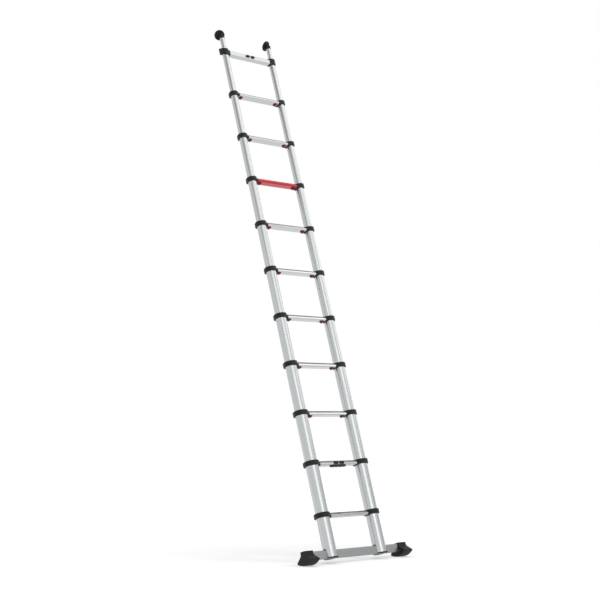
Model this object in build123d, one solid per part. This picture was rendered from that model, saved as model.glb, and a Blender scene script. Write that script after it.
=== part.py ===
from build123d import *

import os
from math import acos, atan2, cos, hypot, radians, sin, sqrt

# Telescopic ladder, drawn out and leaning. Each piece is made upright, with Z along the stiles, X along
# the rungs and -Y towards the climber, and is then leaned back about the feet. Sizes are in millimetres.

# Overall sizes
RUNG_COUNT = 11
BASE_RUNGS = 2
RUNG_PITCH = 290.0
FIRST_RUNG = 233.0
STILE_SPACING = 368.0
LEAN_DEG = 18.0

# Clearances: between fixed pieces, between sliding pieces, and of a turning fit, all per side
FIT = 0.1
SLIDE = 0.3
TURN = 0.06

# Stile tubes
BASE_TUBE_DIA = 74.0
TUBE_WALL = 1.5
TUBE_GAP = 0.5
TUBE_OVERLAP = 55.0

# Rungs, with a bevelled front above a lip, and the flat-fronted top rung
RUNG_HEIGHT = 27.0
RUNG_DEPTH = 43.0
RUNG_BEVEL = 14.0
RUNG_LIP = 8.0
RUNG_UNDERCUT = 4.0
RUNG_WALL = 2.0
RUNG_CORNER = 3.0
TOP_RUNG_HEIGHT = 29.0
TOP_RUNG_DEPTH = 33.0
TREAD_GROOVES = 5
TREAD_GROOVE_WIDTH = 1.8
TREAD_GROOVE_DEPTH = 0.7
TREAD_GROOVE_PITCH = 4.4

# Collars, and the taller caps on the top rung, which slope up to an ear on their outer back
COLLAR_HEIGHT = 28.0
COLLAR_WALL = 7.0
COLLAR_LIFT = 1.0
COLLAR_LIP = 4.0
COLLAR_ROUND = 4.0
LOBE_REACH = 6.0
LOBE_INSET = 12.0
LOBE_TURN_DEG = 20.0
SOCKET_REACH = 8.0
SOCKET_WALL = 2.5
SOCKET_WEB = 3.0
SOCKET_SHOULDER = 2.0
SOCKET_CORNER = 5.0
SOCKET_ROUND = 1.5
CAP_TOP = 31.0
CAP_HEIGHT = 40.0
CAP_TILT_DEG = 20.0
CAP_WALL = 5.5
CAP_EAR_RADIUS = 7.0
CAP_EAR_OUT = 1.0
CAP_EAR_BACK = 1.5
CAP_ROUND = 2.5

# Lock pins and their holes
LOCK_PIN_DIA = 8.0
LOCK_PIN_LENGTH = 26.0
LOCK_PIN_STROKE = 4.0
LOCK_PIN_SHOULDER_DIA = 12.0
LOCK_PIN_SHOULDER = 3.0
LOCK_HOLE_CLEARANCE = 0.5

# Wedge triggers under the rung ends
TRIGGER_WIDTH = 21.0
TRIGGER_DEPTH = 18.0
TRIGGER_DROP = 9.5
TRIGGER_SIDE = 3.0
TRIGGER_TIP = 7.0
TRIGGER_FLANGE = 2.0
TRIGGER_FLANGE_EDGE = 2.0
TRIGGER_CORNER = 1.6
TRIGGER_ROUND = 0.8
TRIGGER_OFFSET = 10.0

# Thumb sliders on rung 2 and on the top rung, with the strips that draw their pins
SLIDER_SPACING = 42.0
SLIDER_LENGTH = 30.0
SLIDER_WIDTH = 15.5
SLIDER_LEVEL = -2.0
SLIDER_HEIGHT = 5.0
SLIDER_WRAP = 7.0
SLIDER_STROKE = 4.0
SLIDER_NECK_LENGTH = 12.0
SLIDER_NECK_WIDTH = 6.0
SLIDER_NECK_DEPTH = 12.0
SLIDER_ROUND = 1.6
TOP_SLIDER_SPACING = 38.0
TOP_SLIDER_LENGTH = 29.0
TOP_SLIDER_WIDTH = 15.0
TOP_SLIDER_LEVEL = 2.5
STRIP_WIDTH = 16.0
STRIP_THICKNESS = 3.0
STRIP_SHIFT = 4.0

# Finger grip under rung 2
GRIP_LENGTH = 114.0
GRIP_DEPTH = 29.0
GRIP_HEIGHT = 8.0
GRIP_SHIFT = 7.0
GRIP_ROUND = 3.5
GRIP_SCALLOPS = 4
GRIP_SCALLOP_RADIUS = 16.0
GRIP_SCALLOP_DEPTH = 2.0

# Wall posts and pads
POST_DIA = 30.0
POST_WALL = 2.0
POST_INSIDE = 60.0
POST_TOP = 124.0
POST_BUSH = 14.0
PAD_DIA = 64.0
PAD_THICKNESS = 14.0
PAD_SETBACK = 17.0
PAD_RISE = 138.5
PAD_TURN_DEG = 27.0
PAD_TILT_DEG = 40.0
PAD_ROUND = 5.0
PAD_PLUG_LENGTH = 24.0
PAD_STEM_DIA = 20.0
PAD_STEM_TOP = 138.0
PAD_NECK_DIA = 22.0
PAD_NECK_LENGTH = 9.0
PAD_RING_DIAMETERS = (34.0, 48.0)
PAD_RING_WIDTH = 3.0
PAD_RING_DEPTH = 1.2
PAD_HUB_DIA = 18.0
PAD_HUB_DEPTH = 2.0

# Stabiliser bar, and the end caps on both sides of it in each stile, with the pins that hold them
BAR_HEIGHT = 45.0
BAR_DEPTH = 24.0
BAR_WALL = 2.0
BAR_CORNER = 3.0
BAR_SLOT_RISE = 7.0
BAR_SLOT_CORNER = 6.0
END_CAP_FLANGE = 4.0
END_CAP_THICKNESS = 5.0
END_CAP_SPIGOT = 34.0
END_CAP_ROUND = 1.5
CAP_PIN_DIA = 8.0
CAP_PIN_SETBACK = 2.0
FOOT_PIN_DIA = 6.0

# Feet: a sleeve on the bar, a ledge, sloping shoulders and a round sole with a flat at the leaning angle
FOOT_SPACING = 692.0
FOOT_LENGTH = 62.0
FOOT_SPAN = 116.0
FOOT_SLEEVE_WALL = 5.0
FOOT_END_WALL = 8.0
FOOT_LEDGE = 4.0
FOOT_LEDGE_DROP = 17.0
FOOT_LEDGE_HEIGHT = 6.0
FOOT_TIP = 6.0
FOOT_CORNER = 1.9
FOOT_ROUND = 1.2
SOLE_RADIUS = 100.0
SOLE_CENTRE = 75.0
SOLE_FLAT_DEG = 7.0

# Shares of sizes that several pieces use
HALF_SPACING = STILE_SPACING / 2
LEAN = radians(LEAN_DEG)
SOLE_FLAT_DISTANCE = SOLE_RADIUS * cos(radians(SOLE_FLAT_DEG))
COLLAR_TOP = COLLAR_LIFT + COLLAR_HEIGHT / 2
TUBE_TOP = COLLAR_TOP - COLLAR_LIP
LOCK_HOLE_DIA = LOCK_PIN_DIA + 2 * LOCK_HOLE_CLEARANCE

# The leaning place: the flats of both soles lie on Z = 0, below the centre of their round
LEANING = Pos(0, -SOLE_CENTRE * sin(LEAN), SOLE_FLAT_DISTANCE - SOLE_CENTRE * cos(LEAN)) * Rot(X=-LEAN_DEG)

# Planes that profiles are drawn on: across a rung, and seen from the front
ACROSS = Plane.YZ
FRONT = Plane.XZ


def is_top(number):
    """Whether a rung is the top one, which has a flat front and carries the posts."""
    return number == RUNG_COUNT


def has_triggers(number):
    """Whether a rung has wedge triggers: all but the base's rungs and the top one."""
    return BASE_RUNGS < number < RUNG_COUNT


def tube_radius(number):
    """Outer radius of the stile tube that carries a rung."""
    return BASE_TUBE_DIA / 2 - max(number - BASE_RUNGS, 0) * (TUBE_WALL + TUBE_GAP)


def inner_radius(number):
    """Outer radius of what slides inside the stile at a rung: the next tube, or a post at the top."""
    return POST_DIA / 2 if is_top(number) else tube_radius(number + 1)


def rung_level(number):
    """Height of a rung's centre above the stabiliser bar's lower side."""
    return FIRST_RUNG + (number - 1) * RUNG_PITCH


def both_sides(piece):
    """A piece made about the left stile's axis, in place, and its mirror image on the right stile."""
    left = Pos(X=-HALF_SPACING) * piece
    return [left, left.mirror(Plane.YZ)]


def along_x(face, start, end):
    """A face drawn across a rung, drawn out along X from start to end."""
    return Pos(X=start) * extrude(ACROSS * face, amount=end - start)


def rod_along_x(radius, start, end):
    """A round rod along X from start to end."""
    return Pos(X=(start + end) / 2) * Rot(Y=90) * Cylinder(radius, end - start)


def tube(radius, wall, bottom, top):
    """An upright tube about the Z axis."""
    middle = Pos(Z=(bottom + top) / 2)
    return middle * Cylinder(radius, top - bottom) - middle * Cylinder(radius - wall, top - bottom)


def pin_hole(radius, level, reach):
    """A cutter for a hole through the inner side of the left stile."""
    return Pos(Z=level) * rod_along_x(radius, 0, reach)


def rung_outline(number):
    """A rung's section, drawn with Y across and Z up."""
    if is_top(number):
        return RectangleRounded(TOP_RUNG_DEPTH, TOP_RUNG_HEIGHT, RUNG_CORNER)
    front, rear = -RUNG_DEPTH / 2, RUNG_DEPTH / 2
    bottom, top = -RUNG_HEIGHT / 2, RUNG_HEIGHT / 2
    lip_top = top - RUNG_BEVEL
    corners = [
        (rear, top),
        (rear, bottom),
        (front + RUNG_UNDERCUT, bottom),
        (front, lip_top - RUNG_LIP),
        (front, lip_top),
        (front + RUNG_BEVEL, top),
    ]
    face = make_face(Polyline(*corners, close=True))
    return fillet(face.vertices(), RUNG_CORNER)


def rung_half_height(number):
    """How far a rung's top and bottom lie from its centre."""
    return (TOP_RUNG_HEIGHT if is_top(number) else RUNG_HEIGHT) / 2


def trigger_centre(number):
    """How far a trigger's middle lies from its stile's axis."""
    return tube_radius(number) + SOCKET_REACH + TRIGGER_OFFSET + TRIGGER_WIDTH / 2


def slider_place(number):
    """The sliders' middle on a rung's front, with Y up and Z out of it."""
    if is_top(number):
        return Pos(0, -TOP_RUNG_DEPTH / 2, TOP_SLIDER_LEVEL) * Rot(X=90)
    return Pos(0, -RUNG_DEPTH / 2, SLIDER_LEVEL) * Rot(X=90)


def slider_shift(number):
    """How far a slider's middle lies from the rung's middle."""
    return (TOP_SLIDER_SPACING if is_top(number) else SLIDER_SPACING) / 2


def slider_windows(number):
    """Cutters for the two windows that the sliders' necks move in."""
    length = SLIDER_NECK_LENGTH + SLIDER_STROKE + 2 * SLIDE
    width = SLIDER_NECK_WIDTH + 2 * SLIDE
    cutter = Box(length, width, 6 * RUNG_WALL)
    shift = slider_shift(number) - SLIDER_STROKE / 2
    return [slider_place(number) * Pos(X=side * shift) * cutter for side in (-1, 1)]


def rung(number):
    """One hollow rung, in place, with its tread grooves and the openings for what moves in it."""
    end = HALF_SPACING - tube_radius(number) - SOCKET_WEB
    outline = rung_outline(number)
    body = along_x(outline - offset(outline, -RUNG_WALL), -end, end)
    half_height = rung_half_height(number)
    groove = Pos(Z=half_height) * Box(2 * end, TREAD_GROOVE_WIDTH, 2 * TREAD_GROOVE_DEPTH)
    rear = (TOP_RUNG_DEPTH if is_top(number) else RUNG_DEPTH) / 2 - RUNG_CORNER - TREAD_GROOVE_PITCH / 2
    cutters = [Pos(Y=rear - index * TREAD_GROOVE_PITCH) * groove for index in range(TREAD_GROOVES)]
    if has_triggers(number):
        slot = Box(TRIGGER_WIDTH + 2 * SLIDE, TRIGGER_DEPTH + 2 * SLIDE, 4 * RUNG_WALL)
        reach = HALF_SPACING - trigger_centre(number)
        cutters += [Pos(side * reach, 0, -half_height) * slot for side in (-1, 1)]
    if number in (BASE_RUNGS, RUNG_COUNT):
        cutters += slider_windows(number)
    return [Pos(Z=rung_level(number)) * (body - cutters)]


def lobed(radius, lobe, x, y):
    """A plan made of a circle about the origin and a lobe about (x, y), joined by their tangents."""
    turn = atan2(y, x)
    spread = acos((radius - lobe) / hypot(x, y))
    angles = (turn + spread, turn - spread)
    ring_ends = [(radius * cos(angle), radius * sin(angle)) for angle in angles]
    lobe_ends = [(x + lobe * cos(angle), y + lobe * sin(angle)) for angle in angles]
    ring_back = (-radius * cos(turn), -radius * sin(turn))
    lobe_tip = (x + lobe * cos(turn), y + lobe * sin(turn))
    edges = [
        ThreePointArc(ring_ends[0], ring_back, ring_ends[1]),
        Line(ring_ends[1], lobe_ends[1]),
        ThreePointArc(lobe_ends[1], lobe_tip, lobe_ends[0]),
        Line(lobe_ends[0], ring_ends[0]),
    ]
    return make_face(edges)


def band(number):
    """A collar's band about the left stile's axis, with a lobe on its outer back."""
    ring = tube_radius(number) + COLLAR_WALL
    lobe = ring - LOBE_INSET
    reach = ring + LOBE_REACH - lobe
    turn = radians(LOBE_TURN_DEG)
    plan = lobed(ring, lobe, -reach * sin(turn), reach * cos(turn))
    body = Pos(Z=COLLAR_TOP - COLLAR_HEIGHT) * extrude(plan, amount=COLLAR_HEIGHT)
    ends = body.faces().sort_by(Axis.Z)
    return fillet(ends[0].edges() + ends[-1].edges(), COLLAR_ROUND)


def cap(number):
    """The top rung's taller band, which slopes up to an ear on its outer back."""
    ring = tube_radius(number) + CAP_WALL
    inset = ring - CAP_EAR_RADIUS
    plan = lobed(ring, CAP_EAR_RADIUS, -inset - CAP_EAR_OUT, inset + CAP_EAR_BACK)
    slope = Pos(Z=CAP_TOP) * Rot(X=CAP_TILT_DEG)
    body = extrude(plan, amount=2 * CAP_HEIGHT, both=True)
    body = body & slope * Pos(Z=-CAP_HEIGHT / 2) * Box(8 * ring, 8 * ring, CAP_HEIGHT)
    ends = body.faces().filter_by(GeomType.PLANE).sort_by(Axis.Z)
    return fillet(ends[0].edges() + ends[-1].edges(), CAP_ROUND)


def socket_outline(number):
    """The outline of a collar's rung socket, drawn with Y across and Z up, full below a rung's lip."""
    outline = rung_outline(number)
    socket = offset(outline, SOCKET_WALL)
    if is_top(number):
        return socket
    half_width = outline.bounding_box().size.X / 2 + SOCKET_WALL
    bottom = -rung_half_height(number) - SOCKET_WALL
    shoulder = RectangleRounded(half_width, SOCKET_SHOULDER - bottom, SOCKET_CORNER)
    return socket + Pos(-half_width / 2, (bottom + SOCKET_SHOULDER) / 2) * shoulder


def collar(number):
    """One collar about the left stile's axis, with its lip and rung socket, at its rung's height."""
    radius = tube_radius(number)
    ring = radius + COLLAR_WALL
    outline = rung_outline(number)
    half_width = outline.bounding_box().size.X / 2 + SOCKET_WALL
    socket_start = sqrt(max(ring**2 - half_width**2, (ring / 2) ** 2))
    block = along_x(socket_outline(number), socket_start, radius + SOCKET_REACH)
    block = fillet(block.faces().sort_by(Axis.X)[-1].edges(), SOCKET_ROUND)

    # The bore stops under the lip, which closes on the next tube. Rung 1 has no tube to close on.
    bore_bottom = -rung_half_height(number) - 2 * radius
    bore_top = TUBE_TOP if number >= BASE_RUNGS else COLLAR_TOP + COLLAR_LIP
    bore = Pos(Z=(bore_bottom + bore_top) / 2) * Cylinder(radius + FIT, bore_top - bore_bottom)
    passage = Pos(Z=bore_top) * Cylinder(inner_radius(number) + SLIDE, 4 * CAP_TOP)
    cavity = along_x(offset(outline, FIT), radius + SOCKET_WEB, radius + 2 * SOCKET_REACH)
    body = (cap(number) if is_top(number) else band(number)) + block - bore - passage - cavity
    if number >= BASE_RUNGS:
        body -= pin_hole(LOCK_PIN_DIA / 2 + FIT, 0, radius + SOCKET_REACH)
    return Pos(Z=rung_level(number)) * body


def stile(number):
    """The left tube of a stage above the base, with its two lock holes."""
    radius = tube_radius(number)
    bottom = rung_level(number - 1) - TUBE_OVERLAP
    top = rung_level(number) + TUBE_TOP - FIT
    body = tube(radius, TUBE_WALL, bottom, top)
    holes = [pin_hole(LOCK_HOLE_DIA / 2, rung_level(level), 2 * radius) for level in (number - 1, number)]
    return body - holes


def base_stile():
    """The left base tube, with the slot for the stabiliser bar and the hole for its lock pin."""
    radius = tube_radius(BASE_RUNGS)
    body = tube(radius, TUBE_WALL, END_CAP_THICKNESS, rung_level(BASE_RUNGS) + TUBE_TOP - FIT)
    slot_height = BAR_HEIGHT + BAR_SLOT_RISE
    arch = RectangleRounded(BAR_DEPTH + 2 * FIT, 2 * slot_height, BAR_SLOT_CORNER)
    slot = along_x(arch, -2 * radius, 2 * radius)
    return body - slot - pin_hole(LOCK_HOLE_DIA / 2, rung_level(BASE_RUNGS), 2 * radius)


def triggers(number):
    """The two wedge triggers of a rung, at rest on the rung's floor, with a flange that keeps them in."""
    floor = -RUNG_HEIGHT / 2
    seat = floor + RUNG_WALL + SLIDE
    half = TRIGGER_WIDTH / 2
    corners = [
        (-half, seat + TRIGGER_FLANGE),
        (half, seat + TRIGGER_FLANGE),
        (half, floor - TRIGGER_SIDE),
        (TRIGGER_TIP / 2, floor - TRIGGER_DROP),
        (-TRIGGER_TIP / 2, floor - TRIGGER_DROP),
        (-half, floor - TRIGGER_SIDE),
    ]
    outline = make_face(Polyline(*corners, close=True))
    outline = fillet(outline.vertices().filter_by(lambda corner: corner.Y < floor), TRIGGER_CORNER)
    wedge = extrude(FRONT * outline, TRIGGER_DEPTH / 2, both=True)
    ends = wedge.faces().sort_by(Axis.Y)
    rims = ends[0].edges() + ends[-1].edges()
    wedge = fillet(rims.filter_by(lambda rim: rim.center().Z < seat + TRIGGER_FLANGE / 2), TRIGGER_ROUND)
    edge = 2 * TRIGGER_FLANGE_EDGE
    flange = Box(TRIGGER_WIDTH + edge, TRIGGER_DEPTH + edge, TRIGGER_FLANGE)
    piece = wedge + Pos(Z=seat + TRIGGER_FLANGE / 2) * flange
    return both_sides(Pos(trigger_centre(number), 0, rung_level(number)) * piece)


def lock_pin(number):
    """A shouldered lock pin in the left end of a rung, drawn back just clear of the inner tube."""
    tip = inner_radius(number) + SLIDE
    pin = rod_along_x(LOCK_PIN_DIA / 2, tip, tip + LOCK_PIN_LENGTH)
    shoulder = tube_radius(number) + SOCKET_WEB + LOCK_PIN_STROKE
    return pin + rod_along_x(LOCK_PIN_SHOULDER_DIA / 2, shoulder, shoulder + LOCK_PIN_SHOULDER)


def slider_button(number):
    """A rung's left thumb button, cut to the rung's front: a plain block, or an oval on the top rung."""
    if is_top(number):
        plan = SlotOverall(TOP_SLIDER_LENGTH, TOP_SLIDER_WIDTH)
    else:
        plan = RectangleRounded(SLIDER_LENGTH, SLIDER_WIDTH, RUNG_CORNER)
    button = Pos(Z=-SLIDER_WRAP) * extrude(plan, amount=SLIDER_WRAP + SLIDE + SLIDER_HEIGHT)
    button = fillet(button.faces().sort_by(Axis.Z)[-1].edges(), SLIDER_ROUND)
    button = Pos(X=-slider_shift(number)) * slider_place(number) * button
    return button - along_x(offset(rung_outline(number), SLIDE), -HALF_SPACING, HALF_SPACING)


def slider(number):
    """The left thumb slider of a rung: its button and neck, its strip inside the rung, and its lock pin."""
    shift = slider_shift(number)
    neck = Box(SLIDER_NECK_LENGTH, SLIDER_NECK_WIDTH, SLIDER_NECK_DEPTH + SLIDER_HEIGHT / 2)
    neck = Pos(X=-shift) * slider_place(number) * Pos(Z=SLIDER_HEIGHT / 4 - SLIDER_NECK_DEPTH / 2) * neck
    pin = Pos(X=-HALF_SPACING) * lock_pin(number)
    strip_start = pin.bounding_box().max.X - SLIDER_NECK_LENGTH / 2
    strip_end = SLIDER_NECK_LENGTH / 2 - shift
    strip = Box(strip_end - strip_start, STRIP_WIDTH, STRIP_THICKNESS)
    strip = Pos((strip_start + strip_end) / 2, -STRIP_SHIFT, 0) * strip
    return Pos(Z=rung_level(number)) * (slider_button(number) + neck + strip + pin)


def release_grip():
    """The finger grip under rung 2, with scallops across its underside."""
    plan = SlotOverall(GRIP_LENGTH, GRIP_DEPTH)
    body = extrude(plan, amount=-GRIP_HEIGHT)
    body = fillet(body.faces().sort_by(Axis.Z)[0].edges(), GRIP_ROUND)
    pitch = (GRIP_LENGTH - GRIP_DEPTH) / (GRIP_SCALLOPS - 1)
    scallop_level = -GRIP_HEIGHT - GRIP_SCALLOP_RADIUS + GRIP_SCALLOP_DEPTH
    scallop = Rot(X=90) * Cylinder(GRIP_SCALLOP_RADIUS, 2 * GRIP_DEPTH)
    first = -(GRIP_SCALLOPS - 1) / 2
    cutters = [Pos((first + index) * pitch, 0, scallop_level) * scallop for index in range(GRIP_SCALLOPS)]
    return Pos(0, -GRIP_SHIFT, rung_level(BASE_RUNGS) - RUNG_HEIGHT / 2 - FIT) * (body - cutters)


def post():
    """The left wall post: a slim tube with a widened lower end that runs in the top stile."""
    level = rung_level(RUNG_COUNT)
    bottom = level - POST_INSIDE
    bush_radius = tube_radius(RUNG_COUNT) - TUBE_WALL - SLIDE
    shaft = tube(POST_DIA / 2, POST_WALL, bottom, level + POST_TOP)
    bush_wall = bush_radius - POST_DIA / 2 + POST_WALL
    bush = tube(bush_radius, bush_wall, bottom, bottom + POST_BUSH)
    return shaft + bush - pin_hole(LOCK_HOLE_DIA / 2, level, POST_DIA)


def pad():
    """The left wall pad: a ringed disc, tilted up, on a stem with a plug that turns in the post's end."""
    level = rung_level(RUNG_COUNT)
    disc = extrude(Circle(PAD_DIA / 2), amount=PAD_THICKNESS / 2, both=True)
    disc = fillet(disc.edges().filter_by(GeomType.CIRCLE), PAD_ROUND)
    face = PAD_THICKNESS / 2
    for diameter in PAD_RING_DIAMETERS:
        ring = Circle(diameter / 2 + PAD_RING_WIDTH / 2) - Circle(diameter / 2 - PAD_RING_WIDTH / 2)
        disc -= Pos(Z=face - PAD_RING_DEPTH) * extrude(ring, amount=2 * PAD_RING_DEPTH)
    disc -= Pos(Z=face) * Cylinder(PAD_HUB_DIA / 2, 2 * PAD_HUB_DEPTH)
    disc += Pos(Z=-PAD_NECK_LENGTH / 2) * Cylinder(PAD_NECK_DIA / 2, PAD_NECK_LENGTH)
    disc = Pos(0, PAD_SETBACK, PAD_RISE) * Rot(Z=-PAD_TURN_DEG) * Rot(X=PAD_TILT_DEG - 90) * disc
    plug_bottom = POST_TOP - PAD_PLUG_LENGTH
    plug = extrude(Circle(POST_DIA / 2 - POST_WALL - TURN), amount=PAD_PLUG_LENGTH)
    stem = extrude(Circle(PAD_STEM_DIA / 2), amount=PAD_STEM_TOP - plug_bottom)
    return Pos(Z=level) * (disc + Pos(Z=plug_bottom) * (plug + stem))


def bar_outline(clearance=0.0):
    """The stabiliser bar's section, drawn with Y across and Z up, or its passage with a clearance."""
    outline = RectangleRounded(BAR_DEPTH + 2 * clearance, BAR_HEIGHT + 2 * clearance, BAR_CORNER)
    return Pos(0, BAR_HEIGHT / 2) * outline


def cap_pin(radius, place):
    """A pin or its hole, through a stile's end caps and the bar between them, inside the tube."""
    length = 2 * (tube_radius(BASE_RUNGS) - TUBE_WALL - CAP_PIN_SETBACK)
    return Pos(place, 0, BAR_HEIGHT / 2) * Rot(X=90) * Cylinder(radius, length)


def foot_pin(radius, place):
    """A pin or its hole, through a foot's sleeve from front to back."""
    length = BAR_DEPTH + 2 * FOOT_SLEEVE_WALL
    return Pos(place, 0, BAR_HEIGHT / 2) * Rot(X=90) * Cylinder(radius, length)


def stabiliser_bar():
    """The hollow bar that joins the feet, with holes for the pins."""
    half = FOOT_SPACING / 2 + FOOT_LENGTH / 2 - FOOT_END_WALL - FIT
    outline = bar_outline()
    body = along_x(outline - offset(outline, -BAR_WALL), -half, half)
    cutters = []
    for side in (-1, 1):
        cutters.append(cap_pin(CAP_PIN_DIA / 2 + FIT, side * HALF_SPACING))
        cutters.append(foot_pin(FOOT_PIN_DIA / 2 + FIT, side * FOOT_SPACING / 2))
    return body - cutters


def end_caps():
    """The two end caps of the left base stile, with spigots that fill the tube on both sides of the bar."""
    radius = tube_radius(BASE_RUNGS)
    plate = extrude(Circle(radius + END_CAP_FLANGE), amount=END_CAP_THICKNESS - FIT)
    plate = fillet(plate.edges().filter_by(GeomType.CIRCLE), END_CAP_ROUND)
    spigot = extrude(Circle(radius - TUBE_WALL - FIT), amount=END_CAP_THICKNESS + END_CAP_SPIGOT)
    channel = along_x(bar_outline(FIT), -2 * radius, 2 * radius)
    passage = Pos(Z=-BAR_HEIGHT / 2) * Box(4 * radius, BAR_DEPTH + 2 * FIT, 2 * BAR_HEIGHT)
    return plate + spigot - channel - passage - cap_pin(CAP_PIN_DIA / 2 + FIT, 0)


def fasteners():
    """The pins of the end caps and of the feet."""
    pieces = [cap_pin(CAP_PIN_DIA / 2, side * HALF_SPACING) for side in (-1, 1)]
    return pieces + [foot_pin(FOOT_PIN_DIA / 2, side * FOOT_SPACING / 2) for side in (-1, 1)]


def foot_outline():
    """A foot's section, drawn with Y across and Z up."""
    sleeve = BAR_DEPTH / 2 + FOOT_SLEEVE_WALL
    top = BAR_HEIGHT + FOOT_SLEEVE_WALL
    ledge_top = top - FOOT_LEDGE_DROP
    ledge_bottom = ledge_top - FOOT_LEDGE_HEIGHT
    half = FOOT_SPAN / 2
    sole_edge = SOLE_CENTRE - sqrt(SOLE_RADIUS**2 - half**2)
    corners = [
        (-half, sole_edge),
        (-half, sole_edge + FOOT_TIP),
        (-sleeve - FOOT_LEDGE, ledge_bottom),
        (-sleeve - FOOT_LEDGE, ledge_top),
        (-sleeve, ledge_top),
        (-sleeve, top),
        (sleeve, top),
        (sleeve, ledge_top),
        (sleeve + FOOT_LEDGE, ledge_top),
        (sleeve + FOOT_LEDGE, ledge_bottom),
        (half, sole_edge + FOOT_TIP),
        (half, sole_edge),
    ]
    sole_bottom = SOLE_CENTRE - SOLE_RADIUS
    sole = ThreePointArc(corners[-1], (0, sole_bottom), corners[0])
    outline = make_face(Polyline(*corners) + sole)
    below_flat = Pos(0, SOLE_CENTRE) * Rot(Z=LEAN_DEG) * Pos(0, -SOLE_FLAT_DISTANCE - SOLE_RADIUS / 2)
    outline -= below_flat * Rectangle(SOLE_RADIUS, SOLE_RADIUS)
    return fillet(outline.vertices(), FOOT_CORNER)


def foot():
    """The left rubber foot, with the sleeve that the bar's end goes into."""
    centre = -FOOT_SPACING / 2
    start = centre - FOOT_LENGTH / 2
    body = along_x(foot_outline(), start, start + FOOT_LENGTH)
    ends = body.faces().sort_by(Axis.X)
    body = fillet(ends[0].edges() + ends[-1].edges(), FOOT_ROUND)
    sleeve = along_x(bar_outline(FIT), start + FOOT_END_WALL, start + 2 * FOOT_LENGTH)
    return body - sleeve - foot_pin(FOOT_PIN_DIA / 2 + FIT, centre)


def stage_nodes(number):
    """The pieces of one stage above the base, by name."""
    nodes = {
        f"stiles_{number:02}": both_sides(stile(number)),
        f"rung_{number:02}": rung(number),
        f"collars_{number:02}": both_sides(collar(number)),
    }
    if has_triggers(number):
        nodes[f"triggers_{number:02}"] = triggers(number)
        nodes[f"lock_pins_{number:02}"] = both_sides(Pos(Z=rung_level(number)) * lock_pin(number))
    return nodes


def base_nodes():
    """The pieces that stay with the base stiles, by name."""
    nodes = {"base_stiles": both_sides(base_stile())}
    nodes["base_collars"] = []
    for number in range(1, BASE_RUNGS + 1):
        nodes[f"rung_{number:02}"] = rung(number)
        nodes["base_collars"] += both_sides(collar(number))
    left_foot = foot()
    nodes["stabiliser_bar"] = [stabiliser_bar()]
    nodes["stile_end_caps"] = both_sides(end_caps())
    nodes["feet"] = [left_foot, left_foot.mirror(Plane.YZ)]
    nodes["bar_fasteners"] = fasteners()
    nodes["release_grip"] = [release_grip()]
    return nodes


def handed_nodes():
    """The pieces that move by themselves on each side, by name."""
    posts = both_sides(post())
    pads = both_sides(pad())
    release = slider(BASE_RUNGS)
    post_release = slider(RUNG_COUNT)
    return {
        "post_left": posts[:1],
        "post_right": posts[1:],
        "wall_pad_left": pads[:1],
        "wall_pad_right": pads[1:],
        "release_slider_left": [release],
        "release_slider_right": [release.mirror(Plane.YZ)],
        "post_slider_left": [post_release],
        "post_slider_right": [post_release.mirror(Plane.YZ)],
    }


def ladder():
    """Every piece, by name."""
    nodes = base_nodes()
    for number in range(BASE_RUNGS + 1, RUNG_COUNT + 1):
        nodes.update(stage_nodes(number))
    nodes.update(handed_nodes())
    return nodes


def main():
    """Writes each node's pieces, leaned back, as one STEP file."""
    os.makedirs("parts", exist_ok=True)
    for name, pieces in ladder().items():
        leaning = [LEANING * solid for piece in pieces for solid in piece.solids()]
        export_step(Compound(children=leaning, label=name), f"parts/{name}.step")


if __name__ == "__main__":
    main()
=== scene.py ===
"""Looks of a telescopic ladder, drawn out and leaning, around its packed construction frame."""

import logging
import math
from dataclasses import dataclass, field
from enum import Enum
from typing import Any

import bpy
from mathutils import Matrix, Vector


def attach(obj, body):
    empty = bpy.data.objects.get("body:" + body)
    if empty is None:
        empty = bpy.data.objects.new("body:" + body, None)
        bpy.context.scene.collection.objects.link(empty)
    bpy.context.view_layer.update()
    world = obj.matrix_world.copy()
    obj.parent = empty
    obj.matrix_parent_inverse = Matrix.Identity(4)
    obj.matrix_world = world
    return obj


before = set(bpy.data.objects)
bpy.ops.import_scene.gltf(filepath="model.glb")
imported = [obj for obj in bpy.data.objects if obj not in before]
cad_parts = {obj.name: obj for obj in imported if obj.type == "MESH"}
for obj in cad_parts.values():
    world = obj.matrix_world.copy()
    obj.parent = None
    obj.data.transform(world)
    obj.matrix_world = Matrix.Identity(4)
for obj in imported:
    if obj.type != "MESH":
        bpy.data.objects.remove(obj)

Color = tuple[float, float, float]
Place = tuple[float, float, float]
Socket = bpy.types.NodeSocket

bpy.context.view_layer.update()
LOG = logging.getLogger("ladder")


class Run(Enum):
    """The way that a metal piece was drawn, and its fine lines run."""

    STILE = "along the stiles"
    RUNG = "along the rungs"


@dataclass(frozen=True)
class Lean:
    """The ladder's own directions: X along the rungs, Y through them, Z up the stiles."""

    angle: float = math.radians(18.0)
    foot: Place = (0.0, -0.023176, 0.027925)

    def matrix(self) -> Matrix:
        """Returns the matrix that takes the ladder's own directions to the scene's."""
        return Matrix.Translation(self.foot) @ Matrix.Rotation(-self.angle, 4, "X")


LEAN = Lean()
WHITE = (1.0, 1.0, 1.0, 1.0)


@dataclass(frozen=True)
class RungSizes:
    """Where the rungs are and how they are shaped, in metres, in the ladder's own directions."""

    first: float = 0.233
    pitch: float = 0.290
    depth: float = 0.043
    height: float = 0.027
    base_count: int = 2
    count: int = 11
    red: int = 8

    def level(self, number: int) -> float:
        """Returns the height of a rung's centre up the stiles.

        Args:
            number: The rung, counted from the floor.
        """
        return self.first + (number - 1) * self.pitch

    def has_triggers(self, number: int) -> bool:
        """Tells whether a rung has wedge triggers under its ends.

        Args:
            number: The rung, counted from the floor.
        """
        return self.base_count < number < self.count


RUNGS = RungSizes()


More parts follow.
